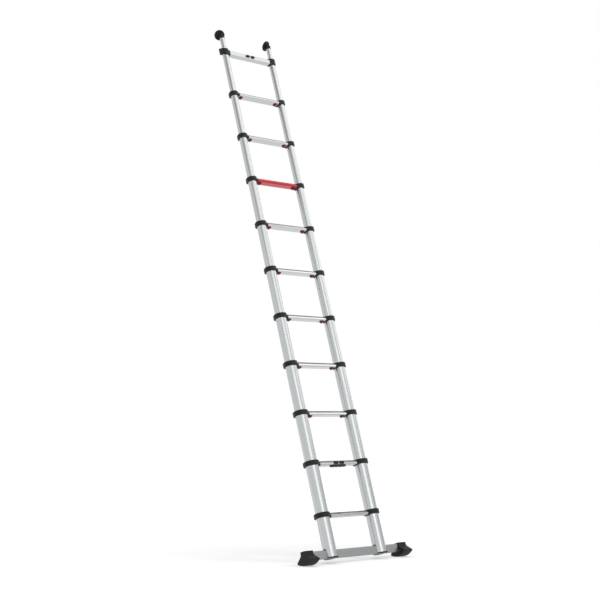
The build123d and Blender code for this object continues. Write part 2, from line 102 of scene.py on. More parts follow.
class Graph:
    """Adds nodes to one node tree and joins them."""

    def __init__(self, tree: bpy.types.NodeTree) -> None:
        """Keeps the tree that the nodes go into.

        Args:
            tree: A material's, a world's or a group's node tree.
        """
        self.tree = tree

    def add(self, kind: str, inputs: dict[Any, Any] | None = None, **settings: Any) -> bpy.types.Node:
        """Adds one node.

        Args:
            kind: The node's type.
            inputs: A value or another node's socket for each input, by its name or number.
            settings: The node's own settings.

        Returns:
            The new node.
        """
        node = self.tree.nodes.new(kind)
        for name, value in settings.items():
            setattr(node, name, value)
        for key, value in (inputs or {}).items():
            if isinstance(value, Socket):
                self.tree.links.new(value, node.inputs[key])
            else:
                node.inputs[key].default_value = value
        return node

    def math(self, operation: str, first: Any, second: Any = 0.0) -> Socket:
        """Adds a Math node, held between 0 and 1.

        Args:
            operation: What it does, such as MULTIPLY.
            first: The first value or socket.
            second: The second value or socket.

        Returns:
            Its result.
        """
        node = self.add("ShaderNodeMath", {0: first, 1: second}, operation=operation, use_clamp=True)
        return node.outputs[0]

    def spread(
        self, value: Socket, low: float, high: float, to_low: float = 0.0, to_high: float = 1.0
    ) -> Socket:
        """Stretches a range of values to another one.

        Args:
            value: What is stretched.
            low: Where the range starts.
            high: Where it ends.
            to_low: What its start becomes.
            to_high: What its end becomes.

        Returns:
            The stretched value.
        """
        ends = {"Value": value, "From Min": low, "From Max": high, "To Min": to_low, "To Max": to_high}
        return self.add("ShaderNodeMapRange", ends).outputs["Result"]

    def noise(self, vector: Socket, scale: Any, detail: float = 2.0) -> Socket:
        """Adds a noise pattern.

        Args:
            vector: The coordinates it reads.
            scale: How many of its blots fit in a metre.
            detail: How many finer layers it has.

        Returns:
            Its value, from 0 to 1.
        """
        node = self.add("ShaderNodeTexNoise", {"Vector": vector, "Scale": scale, "Detail": detail})
        return node.outputs[0]

    def mix(self, share: Any, first: Any, second: Any) -> Socket:
        """Mixes two colours.

        Args:
            share: How much of the second one shows.
            first: The first colour or socket.
            second: The second colour or socket.

        Returns:
            The mixed colour.
        """
        # A Mix node's colour sockets are its inputs 6 and 7 and its output 2
        colors = [c if isinstance(c, Socket) else (*c, 1.0) for c in (first, second)]
        node = self.add("ShaderNodeMix", {0: share, 6: colors[0], 7: colors[1]}, data_type="RGBA")
        return node.outputs[2]

    def group(self, tree: bpy.types.NodeTree, inputs: dict[str, Any]) -> bpy.types.Node:
        """Places a shared node group.

        Args:
            tree: The group's tree.
            inputs: A value or socket for each of its inputs.

        Returns:
            The group's node.
        """
        return self.add("ShaderNodeGroup", inputs, node_tree=tree)


class SharedEffects:
    """Shader node groups that several finishes use."""

    LINE_RANGE = (0.3, 0.7)
    BAND_SCALE = 0.16
    BAND_RANGE = (0.35, 0.65)
    CLOUD_SCALE = 34.0
    CLOUD_RANGE = (0.3, 0.7)
    WEAR_SAMPLES = 4
    WEAR_FACING = (0.99, 0.8)
    WEAR_PATCH_SCALE = 120.0
    WEAR_PATCH_RANGE = (0.4, 0.65)
    DUST_BLOT_SCALE = 160.0
    DUST_BLOT_RANGE = (0.35, 0.75)
    MARK_RANGE = (0.62, 0.72)
    MARK_PLACE_SCALE = 9.0
    MARK_PLACE_RANGE = (0.48, 0.68)

    def __init__(self) -> None:
        """Builds each group once."""
        self.drawn_lines = self._drawn_lines()
        self.moulded_grain = self._moulded_grain()
        self.edge_wear = self._edge_wear()
        self.floor_dust = self._floor_dust()
        self.rub_marks = self._rub_marks()

    @staticmethod
    def _start(name: str, inputs: dict[str, float | None], outputs: list[str]) -> tuple[Graph, Any, Any]:
        """Starts a group.

        Args:
            name: The group's name.
            inputs: Its inputs, with a number for a value and None for coordinates.
            outputs: Its outputs, all of them values.

        Returns:
            The group's graph, its input node and its output node.
        """
        tree = bpy.data.node_groups.new(name, "ShaderNodeTree")
        for label, value in inputs.items():
            kind = "NodeSocketVector" if value is None else "NodeSocketFloat"
            socket = tree.interface.new_socket(label, in_out="INPUT", socket_type=kind)
            if value is not None:
                socket.default_value = value
        for label in outputs:
            tree.interface.new_socket(label, in_out="OUTPUT", socket_type="NodeSocketFloat")
        graph = Graph(tree)
        return graph, graph.add("NodeGroupInput"), graph.add("NodeGroupOutput")

    @staticmethod
    def _stretched(graph: Graph, given: bpy.types.Node) -> Socket:
        """Turns a group's coordinates to the ladder's own directions and stretches them.

        Args:
            graph: The group's graph.
            given: The group's input node.

        Returns:
            The stretched coordinates.
        """
        turned = graph.add(
            "ShaderNodeVectorRotate",
            {"Vector": given.outputs["Vector"], "Angle": LEAN.angle},
            rotation_type="X_AXIS",
        )
        stretched = graph.add(
            "ShaderNodeVectorMath",
            {0: turned.outputs[0], 1: given.outputs["Stretch"]},
            operation="MULTIPLY",
        )
        return stretched.outputs[0]

    def _drawn_lines(self) -> bpy.types.NodeTree:
        """Returns the fine lines and broad bands that drawing leaves along a metal piece."""
        inputs = {"Vector": None, "Stretch": None}
        graph, given, result = self._start("drawn lines", inputs, ["Lines", "Bands"])
        stretched = self._stretched(graph, given)
        fine = graph.noise(stretched, 1.0, detail=3.0)
        broad = graph.noise(stretched, self.BAND_SCALE, detail=1.0)
        graph.tree.links.new(graph.spread(fine, *self.LINE_RANGE), result.inputs["Lines"])
        graph.tree.links.new(graph.spread(broad, *self.BAND_RANGE), result.inputs["Bands"])
        return graph.tree

    def _moulded_grain(self) -> bpy.types.NodeTree:
        """Returns the pebbled skin of moulded plastic and rubber."""
        inputs = {"Vector": None, "Fineness": 900.0}
        graph, given, result = self._start("moulded grain", inputs, ["Height", "Shade"])
        vector, fineness = given.outputs["Vector"], given.outputs["Fineness"]
        pebbles = graph.add(
            "ShaderNodeTexVoronoi", {"Vector": vector, "Scale": fineness}, feature="SMOOTH_F1"
        )
        skin = graph.noise(vector, fineness, detail=3.0)
        clouds = graph.noise(vector, self.CLOUD_SCALE, detail=3.0)
        height = graph.math("MULTIPLY", pebbles.outputs["Distance"], skin)
        graph.tree.links.new(height, result.inputs["Height"])
        graph.tree.links.new(graph.spread(clouds, *self.CLOUD_RANGE), result.inputs["Shade"])
        return graph.tree

    def _edge_wear(self) -> bpy.types.NodeTree:
        """Returns a mask of the edges that hands and floors rub bright."""
        graph, given, result = self._start("edge wear", {"Vector": None, "Width": 0.002}, ["Mask"])
        rounded = graph.add("ShaderNodeBevel", {"Radius": given.outputs["Width"]}, samples=self.WEAR_SAMPLES)
        flat = graph.add("ShaderNodeNewGeometry")
        facing = graph.add(
            "ShaderNodeVectorMath",
            {0: rounded.outputs[0], 1: flat.outputs["Normal"]},
            operation="DOT_PRODUCT",
        )
        edge = graph.spread(facing.outputs["Value"], *self.WEAR_FACING)
        noise = graph.noise(given.outputs["Vector"], self.WEAR_PATCH_SCALE, detail=4.0)
        patches = graph.spread(noise, *self.WEAR_PATCH_RANGE)
        graph.tree.links.new(graph.math("MULTIPLY", edge, patches), result.inputs["Mask"])
        return graph.tree

    def _floor_dust(self) -> bpy.types.NodeTree:
        """Returns a mask of the pale dust that gathers close to the floor."""
        graph, given, result = self._start("floor dust", {"Vector": None, "Top": 0.03}, ["Mask"])
        split = graph.add("ShaderNodeSeparateXYZ", {0: given.outputs["Vector"]})
        low = graph.math("DIVIDE", split.outputs["Z"], given.outputs["Top"])
        near = graph.math("SUBTRACT", 1.0, low)
        noise = graph.noise(given.outputs["Vector"], self.DUST_BLOT_SCALE, detail=5.0)
        blots = graph.spread(noise, *self.DUST_BLOT_RANGE)
        graph.tree.links.new(graph.math("MULTIPLY", near, blots), result.inputs["Mask"])
        return graph.tree

    def _rub_marks(self) -> bpy.types.NodeTree:
        """Returns a mask of the short, sparse marks that sliding and handling leave."""
        graph, given, result = self._start("rub marks", {"Vector": None, "Stretch": None}, ["Mask"])
        lines = graph.noise(self._stretched(graph, given), 1.0, detail=2.0)
        marks = graph.spread(lines, *self.MARK_RANGE)
        patches = graph.noise(given.outputs["Vector"], self.MARK_PLACE_SCALE, detail=3.0)
        places = graph.spread(patches, *self.MARK_PLACE_RANGE)
        graph.tree.links.new(graph.math("MULTIPLY", marks, places), result.inputs["Mask"])
        return graph.tree


def start_material(name: str) -> tuple[Graph, bpy.types.Node, Socket]:
    """Starts a material.

    Args:
        name: The finish's name.

    Returns:
        The material's graph, its surface shader and its object coordinates.
    """
    material = bpy.data.materials.new(name)
    material.use_nodes = True
    graph = Graph(material.node_tree)
    coordinates = graph.add("ShaderNodeTexCoord").outputs["Object"]
    return graph, material.node_tree.nodes["Principled BSDF"], coordinates


def finished(graph: Graph) -> bpy.types.Material:
    """Returns the material that a graph belongs to.

    Args:
        graph: The material's graph.
    """
    return next(m for m in bpy.data.materials if m.node_tree == graph.tree)


@dataclass(frozen=True)
class MetalFinish:
    """Drawn or extruded aluminium, or turned steel."""

    name: str
    color: Color
    band_color: Color
    roughness: tuple[float, float]
    run: Run
    metallic: float = 1.0
    line_depth: float = 0.05
    rub_color: Color = (0.58, 0.59, 0.60)
    line_height: float = 0.0002
    across: float = 1400.0
    along: float = 6.0
    marks_across: float = 600.0
    marks_along: float = 30.0

    def _stretch(self, across: float, along: float) -> Place:
        """Returns how coordinates are stretched, so that lines run the way the metal was drawn.

        Args:
            across: Lines in a metre.
            along: Breaks in a metre of line.
        """
        return (across, across, along) if self.run is Run.STILE else (along, across, across)

    def material(self, effects: SharedEffects) -> bpy.types.Material:
        """Builds the finish.

        Args:
            effects: The shared node groups.

        Returns:
            Its material.
        """
        graph, shader, place = start_material(self.name)
        lines = graph.group(
            effects.drawn_lines, {"Vector": place, "Stretch": self._stretch(self.across, self.along)}
        )
        marks = graph.group(
            effects.rub_marks,
            {"Vector": place, "Stretch": self._stretch(self.marks_across, self.marks_along)},
        )
        banded = graph.mix(lines.outputs["Bands"], self.color, self.band_color)
        rubbed = graph.mix(marks.outputs["Mask"], banded, self.rub_color)
        rough = graph.spread(lines.outputs["Lines"], 0.0, 1.0, *self.roughness)
        bump = graph.add(
            "ShaderNodeBump",
            {"Strength": self.line_depth, "Distance": self.line_height, "Height": lines.outputs["Lines"]},
        )
        shader.inputs["Metallic"].default_value = self.metallic
        graph.tree.links.new(rubbed, shader.inputs["Base Color"])
        graph.tree.links.new(rough, shader.inputs["Roughness"])
        graph.tree.links.new(bump.outputs[0], shader.inputs["Normal"])
        return finished(graph)


@dataclass(frozen=True)
class MouldedFinish:
    """Moulded plastic or rubber, with a grained skin, rubbed edges and floor dust."""

    name: str
    color: Color
    cloud_color: Color
    worn_color: Color
    roughness: tuple[float, float]
    fineness: float = 900.0
    grain_depth: float = 0.25
    wear_width: float = 0.0015
    dust_top: float = 0.0
    dust_color: Color = (0.05, 0.048, 0.045)
    specular: float = 0.24
    grain_height: float = 0.0004

    def material(self, effects: SharedEffects) -> bpy.types.Material:
        """Builds the finish.

        Args:
            effects: The shared node groups.

        Returns:
            Its material.
        """
        graph, shader, place = start_material(self.name)
        grain = graph.group(effects.moulded_grain, {"Vector": place, "Fineness": self.fineness})
        wear = graph.group(effects.edge_wear, {"Vector": place, "Width": self.wear_width})
        color = graph.mix(grain.outputs["Shade"], self.color, self.cloud_color)
        color = graph.mix(wear.outputs["Mask"], color, self.worn_color)
        if self.dust_top:
            dust = graph.group(effects.floor_dust, {"Vector": place, "Top": self.dust_top})
            color = graph.mix(dust.outputs["Mask"], color, self.dust_color)
        rough = graph.spread(grain.outputs["Shade"], 0.0, 1.0, *self.roughness)
        bump = graph.add(
            "ShaderNodeBump",
            {
                "Strength": self.grain_depth,
                "Distance": self.grain_height,
                "Height": grain.outputs["Height"],
            },
        )
        shader.inputs["Specular IOR Level"].default_value = self.specular
        graph.tree.links.new(color, shader.inputs["Base Color"])
        graph.tree.links.new(rough, shader.inputs["Roughness"])
        graph.tree.links.new(bump.outputs[0], shader.inputs["Normal"])
        return finished(graph)


@dataclass(frozen=True)
class CoatedFinish:
    """Coloured coating on metal, a little uneven, worn to a paler tone on its edges."""

    name: str
    color: Color
    cloud_color: Color
    worn_color: Color
    roughness: tuple[float, float] = (0.3, 0.42)
    coat: float = 0.12
    metallic: float = 0.0
    specular: float = 0.4
    coat_roughness: float = 0.2
    fineness: float = 420.0
    wear_width: float = 0.0012
    grain_depth: float = 0.08
    grain_height: float = 0.0003

    def material(self, effects: SharedEffects) -> bpy.types.Material:
        """Builds the finish.

        Args:
            effects: The shared node groups.

        Returns:
            Its material.
        """
        graph, shader, place = start_material(self.name)
        grain = graph.group(effects.moulded_grain, {"Vector": place, "Fineness": self.fineness})
        wear = graph.group(effects.edge_wear, {"Vector": place, "Width": self.wear_width})
        color = graph.mix(grain.outputs["Shade"], self.color, self.cloud_color)
        color = graph.mix(wear.outputs["Mask"], color, self.worn_color)
        rough = graph.spread(grain.outputs["Shade"], 0.0, 1.0, *self.roughness)
        bump = graph.add(
            "ShaderNodeBump",
            {
                "Strength": self.grain_depth,
                "Distance": self.grain_height,
                "Height": grain.outputs["Height"],
            },
        )
        shader.inputs["Metallic"].default_value = self.metallic
        shader.inputs["Specular IOR Level"].default_value = self.specular
        shader.inputs["Coat Weight"].default_value = self.coat
        shader.inputs["Coat Roughness"].default_value = self.coat_roughness
        graph.tree.links.new(color, shader.inputs["Base Color"])
        graph.tree.links.new(rough, shader.inputs["Roughness"])
        graph.tree.links.new(bump.outputs[0], shader.inputs["Normal"])
        return finished(graph)


Finish = MetalFinish | MouldedFinish | CoatedFinish

FINISHES: dict[str, Finish] = {
    "tube": MetalFinish(
        "satin drawn tube",
        (0.53, 0.545, 0.55),
        (0.50, 0.515, 0.52),
        (0.20, 0.28),
        Run.STILE,
    ),
    "post": MetalFinish(
        "satin drawn post",
        (0.53, 0.54, 0.545),
        (0.50, 0.51, 0.515),
        (0.18, 0.26),
        Run.STILE,
    ),
    "rung": MetalFinish("extruded rung", (0.475, 0.485, 0.49), (0.45, 0.46, 0.465), (0.12, 0.18), Run.RUNG),
    "bar": MetalFinish(
        "mill finish bar",
        (0.33, 0.34, 0.35),
        (0.31, 0.32, 0.33),
        (0.34, 0.44),
        Run.RUNG,
        rub_color=(0.40, 0.41, 0.42),
    ),
    "pin": MetalFinish(
        "turned steel",
        (0.22, 0.22, 0.22),
        (0.19, 0.19, 0.19),
        (0.25, 0.35),
        Run.RUNG,
        rub_color=(0.3, 0.3, 0.3),
    ),
    "red_rung": CoatedFinish(
        "red coated rung",
        (0.44, 0.008, 0.016),
        (0.41, 0.007, 0.014),
        (0.5, 0.06, 0.07),
        (0.2, 0.28),
        coat=0.4,
        metallic=0.75,
    ),
    "trigger": CoatedFinish(
        "crimson trigger",
        (0.17, 0.001, 0.016),
        (0.15, 0.001, 0.013),
        (0.24, 0.01, 0.03),
        coat=0.08,
        specular=0.25,
    ),
    "collar": MouldedFinish(
        "grained black collar",
        (0.009, 0.009, 0.0095),
        (0.012, 0.012, 0.0125),
        (0.03, 0.03, 0.031),
        (0.38, 0.5),
    ),
    "slider": MouldedFinish(
        "black thumb slider",
        (0.008, 0.008, 0.0085),
        (0.011, 0.011, 0.0115),
        (0.035, 0.035, 0.036),
        (0.36, 0.48),
        fineness=1100.0,
    ),
    "end_cap": MouldedFinish(
        "black end cap",
        (0.009, 0.009, 0.0095),
        (0.012, 0.012, 0.0125),
        (0.03, 0.03, 0.03),
        (0.5, 0.62),
        dust_top=0.04,
    ),
    "foot": MouldedFinish(
        "black rubber foot",
        (0.008, 0.008, 0.0085),
        (0.011, 0.011, 0.0115),
        (0.026, 0.026, 0.025),
        (0.5, 0.64),
        fineness=700.0,
        grain_depth=0.35,
        wear_width=0.002,
        dust_top=0.018,
    ),
    "pad": MouldedFinish(
        "black rubber pad",
        (0.008, 0.008, 0.0085),
        (0.011, 0.011, 0.0115),
        (0.026, 0.026, 0.026),
        (0.5, 0.64),
        fineness=800.0,
        grain_depth=0.3,
    ),
}


class Materials:
    """The finished materials by the record's slot names."""

    def __init__(self) -> None:
        """Builds the shared effects and every finish."""
        effects = SharedEffects()
        self.by_slot = {slot: finish.material(effects) for slot, finish in FINISHES.items()}

    def dress(self, node: str, slot: str) -> None:
        """Puts a finish on a construction piece.

        Args:
            node: The piece's name in the frame.
            slot: The record's slot that the finish belongs to.
        """
        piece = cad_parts[node]
        for holder in piece.material_slots:
            holder.material = self.by_slot[slot]
        LOG.info("%s dressed as %s", node, FINISHES[slot].name)


class RepeatTree:
    """A Geometry Nodes tree that repeats one small shape, and the pieces made with it."""

    def __init__(self, name: str, inputs: dict[str, str]) -> None:
        """Starts the tree.

        Args:
            name: The tree's name.
            inputs: The socket type of each named input.
        """
        self.tree = bpy.data.node_groups.new(name, "GeometryNodeTree")
        self.graph = Graph(self.tree)
        self.tree.interface.new_socket("Geometry", in_out="INPUT", socket_type="NodeSocketGeometry")
        self.sockets = {
            label: self.tree.interface.new_socket(label, in_out="INPUT", socket_type=kind).identifier
            for label, kind in inputs.items()
        }
        self.tree.interface.new_socket("Geometry", in_out="OUTPUT", socket_type="NodeSocketGeometry")
        self.given = self.graph.add("NodeGroupInput")

    def close(self, instances: Socket) -> None:
        """Ends the tree: makes the instances real, smooths them and gives them their material.

        Args:
            instances: The repeated shapes.
        """
        real = self.graph.add("GeometryNodeRealizeInstances", {0: instances})
        smooth = self.graph.add("GeometryNodeSetShadeSmooth", {0: real.outputs[0]})
        painted = self.graph.add(
            "GeometryNodeSetMaterial", {0: smooth.outputs[0], "Material": self.given.outputs["Material"]}
        )
        self.graph.add("NodeGroupOutput", {0: painted.outputs[0]})

    def piece(self, name: str, seats: list[Vector], values: dict[str, Any]) -> bpy.types.Object:
        """Makes a plain mesh piece with the tree.

        Args:
            name: The piece's name.
            seats: The points that the shape is repeated on.
            values: A value for each named input.

        Returns:
            The piece, at the origin, with no modifier.
        """
        mesh = bpy.data.meshes.new(f"{name}_seats")
        mesh.from_pydata(seats, [], [])
        maker = bpy.data.objects.new(f"{name}_maker", mesh)
        bpy.context.scene.collection.objects.link(maker)
        modifier = maker.modifiers.new("repeat", "NODES")
        modifier.node_group = self.tree
        for label, value in values.items():
            modifier[self.sockets[label]] = value
        evaluated = maker.evaluated_get(bpy.context.evaluated_depsgraph_get())
        made = bpy.data.meshes.new_from_object(evaluated)
        made.name = name
        bpy.data.objects.remove(maker)
        bpy.data.meshes.remove(mesh)
        piece = bpy.data.objects.new(name, made)
        bpy.context.scene.collection.objects.link(piece)
        return piece


class RivetTree(RepeatTree):
    """Domed rivet heads, one on each seat."""

    SEGMENTS = 16
    RINGS = 8

    def __init__(self) -> None:
        """Builds the tree."""
        super().__init__(
            "rivet heads",
            {
                "Head Radius": "NodeSocketFloat",
                "Dome Share": "NodeSocketFloat",
                "Facing": "NodeSocketVector",
                "Material": "NodeSocketMaterial",
            },
        )
        given = self.given.outputs
        dome = self.graph.add(
            "GeometryNodeMeshUVSphere",
            {"Segments": self.SEGMENTS, "Rings": self.RINGS, "Radius": given["Head Radius"]},
        )
        scale = self.graph.add("ShaderNodeCombineXYZ", {0: 1.0, 1: 1.0, 2: given["Dome Share"]})
        flattened = self.graph.add(
            "GeometryNodeTransform", {0: dome.outputs["Mesh"], "Scale": scale.outputs[0]}
        )
        turn = self.graph.add("FunctionNodeAlignRotationToVector", {"Vector": given["Facing"]}, axis="Z")
        heads = self.graph.add(
            "GeometryNodeInstanceOnPoints",
            {"Points": given["Geometry"], "Instance": flattened.outputs[0], "Rotation": turn.outputs[0]},
        )
        self.close(heads.outputs[0])


class RibTree(RepeatTree):
    """Half-round grip ribs, one on each seat."""

    SIDES = 16

    def __init__(self) -> None:
        """Builds the tree."""
        super().__init__(
            "grip ribs",
            {
                "Rib Radius": "NodeSocketFloat",
                "Rib Length": "NodeSocketFloat",
                "Facing": "NodeSocketVector",
                "Material": "NodeSocketMaterial",
            },
        )
        given = self.given.outputs
        rod = self.graph.add(
            "GeometryNodeMeshCylinder",
            {
                "Vertices": self.SIDES,
                "Side Segments": 1,
                "Radius": given["Rib Radius"],
                "Depth": given["Rib Length"],
            },
        )
        turn = self.graph.add("FunctionNodeAlignRotationToVector", {"Vector": given["Facing"]}, axis="Z")
        ribs = self.graph.add(
            "GeometryNodeInstanceOnPoints",
            {"Points": given["Geometry"], "Instance": rod.outputs["Mesh"], "Rotation": turn.outputs[0]},
        )
        self.close(ribs.outputs[0])


@dataclass
class GripRibs:
    """The ribs that a thumb catches on a slider's button."""

    tree: RibTree
    count: int = 5
    pitch: float = 0.0036
    radius: float = 0.0007
    sink: float = 0.0001

    def build(
        self, name: str, middle: Vector, length: float, material: bpy.types.Material
    ) -> bpy.types.Object:
        """Makes one button's ribs.

        Args:
            name: The piece's name.
            middle: The middle of the button's face, in the ladder's own directions.
            length: How long a rib is.
            material: The button's material.

        Returns:
            The ribs, in place.
        """
        first = -(self.count - 1) / 2
        place = LEAN.matrix()
        seats = [
            place @ (middle + Vector(((first + index) * self.pitch, self.sink, 0.0)))
            for index in range(self.count)
        ]
        up = place.to_3x3() @ Vector((0.0, 0.0, 1.0))
        return self.tree.piece(
            name,
            seats,
            {"Rib Radius": self.radius, "Rib Length": length, "Facing": up, "Material": material},
        )


@dataclass
class Stage:
    """One drawn-out stage: its two tubes, its rung and collars, and what locks it."""

    number: int

    def nodes(self) -> dict[str, str]:
        """Returns the slot of each of the stage's construction pieces."""
        tag = f"{self.number:02}"
        slots = {
            f"stiles_{tag}": "tube",
            f"rung_{tag}": "red_rung" if self.number == RUNGS.red else "rung",
            f"collars_{tag}": "collar",
        }
        if RUNGS.has_triggers(self.number):
            slots[f"triggers_{tag}"] = "trigger"
            slots[f"lock_pins_{tag}"] = "pin"
        return slots

    def dress(self, materials: Materials) -> None:
        """Puts the stage's finishes on.

        Args:
            materials: The finished materials.
        """
        for node, slot in self.nodes().items():
            materials.dress(node, slot)


@dataclass
class BaseSection:
    """The base stiles with their two rungs, the release sliders and the finger grip."""

    rivets: RivetTree
    ribs: GripRibs
    rivet_radius: float = 0.0022
    rivet_dome: float = 0.42
    rivet_places: tuple[float, ...] = (0.085, 0.103, 0.120)
    rivet_depth: float = -0.002
    slider_shift: float = 0.021
    slider_level: float = -0.002
    slider_stand: float = 0.0053
    rib_length: float = 0.0095
    slots: dict[str, str] = field(
        default_factory=lambda: {
            "base_stiles": "tube",
            "base_collars": "collar",
            "rung_01": "rung",
            "rung_02": "rung",
            "release_grip": "slider",
            "release_slider_left": "slider",
            "release_slider_right": "slider",
        }
    )

    def dress(self, materials: Materials) -> None:
        """Puts the section's finishes on.

        Args:
            materials: The finished materials.
        """
        for node, slot in self.slots.items():
            materials.dress(node, slot)

    def build(self, materials: Materials) -> None:
        """Makes the rivets on both rungs and the ribs on both sliders.

        Args:
            materials: The finished materials.
        """
        place = LEAN.matrix()
        facing = place.to_3x3() @ Vector((0.0, 0.0, -1.0))
        seats = [
            place @ Vector((side * along, self.rivet_depth, RUNGS.level(number) - RUNGS.height / 2))
            for number in range(1, RUNGS.base_count + 1)
            for side in (-1.0, 1.0)
            for along in self.rivet_places
        ]
        heads = self.rivets.piece(
            "base_rung_rivets",
            seats,
            {
                "Head Radius": self.rivet_radius,
                "Dome Share": self.rivet_dome,
                "Facing": facing,
                "Material": materials.by_slot["pin"],
            },
        )
        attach(heads, "base")
        LOG.info("%s made", heads.name)
        face = -RUNGS.depth / 2 - self.slider_stand
        level = RUNGS.level(RUNGS.base_count) + self.slider_level
        for side, name in ((-1.0, "left"), (1.0, "right")):
            middle = Vector((side * self.slider_shift, face, level))
            ribs = self.ribs.build(
                f"release_ribs_{name}", middle, self.rib_length, materials.by_slot["slider"]
            )
            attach(ribs, f"release_{name}")
            LOG.info("%s made", ribs.name)


@dataclass(frozen=True)
class PostSleeve:
    """The rubber sleeve round a post's upper end, under its pad, in metres above the top rung."""

    inner: float = 0.01505
    outer: float = 0.0162
    bottom: float = 0.103
    top: float = 0.1245
    bevel: float = 0.0006
    sides: int = 64
    spacing: float = 0.368

    def build(self, name: str, side: float, material: bpy.types.Material) -> bpy.types.Object:
        """Makes one sleeve.

        Args:
            name: The piece's name.
            side: -1 for the left post and 1 for the right one.
            material: The rubber.

        Returns:
            The sleeve, in place.
        """
        profile = [
            (self.inner, self.bottom),
            (self.outer - self.bevel, self.bottom),
            (self.outer, self.bottom + self.bevel),
            (self.outer, self.top - self.bevel),
            (self.outer - self.bevel, self.top),
            (self.inner, self.top),
        ]
        middle = Vector((side * self.spacing / 2, 0.0, RUNGS.level(RUNGS.count)))
        place = LEAN.matrix()
        corners = []
        for step in range(self.sides):
            angle = 2 * math.pi * step / self.sides
            corners += [
                place @ (middle + Vector((radius * math.cos(angle), radius * math.sin(angle), height)))
                for radius, height in profile
            ]
        count = len(profile)
        faces = [
            (
                step * count + edge,
                (step + 1) % self.sides * count + edge,
                (step + 1) % self.sides * count + (edge + 1) % count,
                step * count + (edge + 1) % count,
            )
            for step in range(self.sides)
            for edge in range(count)
        ]
        mesh = bpy.data.meshes.new(name)
        mesh.from_pydata(corners, [], faces)
        mesh.materials.append(material)
        sleeve = bpy.data.objects.new(name, mesh)
        bpy.context.scene.collection.objects.link(sleeve)
        return sleeve


@dataclass
class TopSection:
    """The posts, wall pads and thumb sliders of the top rung."""

    ribs: GripRibs
    sleeve: PostSleeve = PostSleeve()
    rung_depth: float = 0.033
    slider_shift: float = 0.019
    slider_level: float = 0.0025
    slider_stand: float = 0.0053
    rib_length: float = 0.009

    def dress(self, materials: Materials) -> None:
        """Puts the section's finishes on.

        Args:
            materials: The finished materials.
        """
        for side in ("left", "right"):
            materials.dress(f"post_{side}", "post")
            materials.dress(f"wall_pad_{side}", "pad")
            materials.dress(f"post_slider_{side}", "slider")

    def build(self, materials: Materials) -> None:
        """Makes the ribs on both sliders and the sleeves on both posts.

        Args:
            materials: The finished materials.
        """
        face = -self.rung_depth / 2 - self.slider_stand
        level = RUNGS.level(RUNGS.count) + self.slider_level
        for side, name in ((-1.0, "left"), (1.0, "right")):
            sleeve = self.sleeve.build(f"post_sleeve_{name}", side, materials.by_slot["pad"])
            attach(sleeve, f"post_{name}")
            LOG.info("%s made", sleeve.name)
            middle = Vector((side * self.slider_shift, face, level))
            ribs = self.ribs.build(
                f"post_ribs_{name}", middle, self.rib_length, materials.by_slot["slider"]
            )
            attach(ribs, f"post_release_{name}")
            LOG.info("%s made", ribs.name)


@dataclass
class Stand:
    """The stabiliser bar with its feet, end caps and pins."""

    slots: dict[str, str] = field(
        default_factory=lambda: {
            "stabiliser_bar": "bar",
            "stile_end_caps": "end_cap",
            "feet": "foot",
            "bar_fasteners": "pin",
        }
    )

    def dress(self, materials: Materials) -> None:
        """Puts the stand's finishes on.

        Args:
            materials: The finished materials.
        """
        for node, slot in self.slots.items():
            materials.dress(node, slot)


@dataclass(frozen=True)
class Softbox:
    """A soft studio lamp."""

    name: str
    place: Place
    aim: Place
    width: float
    height: float
    power: float

    def build(self) -> None:
        """Hangs the lamp."""
        lamp = bpy.data.lights.new(self.name, "AREA")
        lamp.shape = "RECTANGLE"
        lamp.size, lamp.size_y, lamp.energy = self.width, self.height, self.power
        holder = bpy.data.objects.new(self.name, lamp)
        holder.visible_glossy = False
        holder.location = self.place
        holder.rotation_euler = (Vector(self.aim) - Vector(self.place)).to_track_quat("-Z", "Y").to_euler()
        bpy.context.scene.collection.objects.link(holder)


@dataclass(frozen=True)
class Card:
    """A bright or dim card round the ladder that only shows as a reflection in its metal."""

    name: str
    turn: tuple[float, float]
    rise: tuple[float, float]
    strength: float
    reach: float = 12.0
    middle: Place = (0.0, 0.45, 1.5)
    steps: int = 12

    def _corner(self, across: float, up: float) -> Vector:
        """Returns a point of the card.

        Args:
            across: How far along its turn it lies, from 0 to 1.
            up: How far up its rise it lies, from 0 to 1.
        """
        turn = math.radians(self.turn[0] + across * (self.turn[1] - self.turn[0]))
        rise = math.radians(self.rise[0] + up * (self.rise[1] - self.rise[0]))
        way = Vector((math.cos(turn) * math.cos(rise), math.sin(turn) * math.cos(rise), math.sin(rise)))
        return Vector(self.middle) + self.reach * way

    def build(self) -> None:
        """Hangs the card."""
        row = self.steps + 1
        corners = [self._corner(i / self.steps, j / self.steps) for j in range(row) for i in range(row)]
        faces = [
            (j * row + i, j * row + i + 1, (j + 1) * row + i + 1, (j + 1) * row + i)
            for j in range(self.steps)
            for i in range(self.steps)
        ]
        mesh = bpy.data.meshes.new(self.name)
        mesh.from_pydata(corners, [], faces)
        card = bpy.data.objects.new(self.name, mesh)
        bpy.context.scene.collection.objects.link(card)
        card.visible_camera = card.visible_diffuse = card.visible_shadow = card.visible_transmission = False
        material = bpy.data.materials.new(self.name)
        material.use_nodes = True
        material.node_tree.nodes.clear()
        graph = Graph(material.node_tree)
        glow = graph.add("ShaderNodeEmission", {"Color": WHITE, "Strength": self.strength})
        graph.add("ShaderNodeOutputMaterial", {0: glow.outputs[0]})
        material.cycles.emission_sampling = "NONE"
        mesh.materials.append(material)


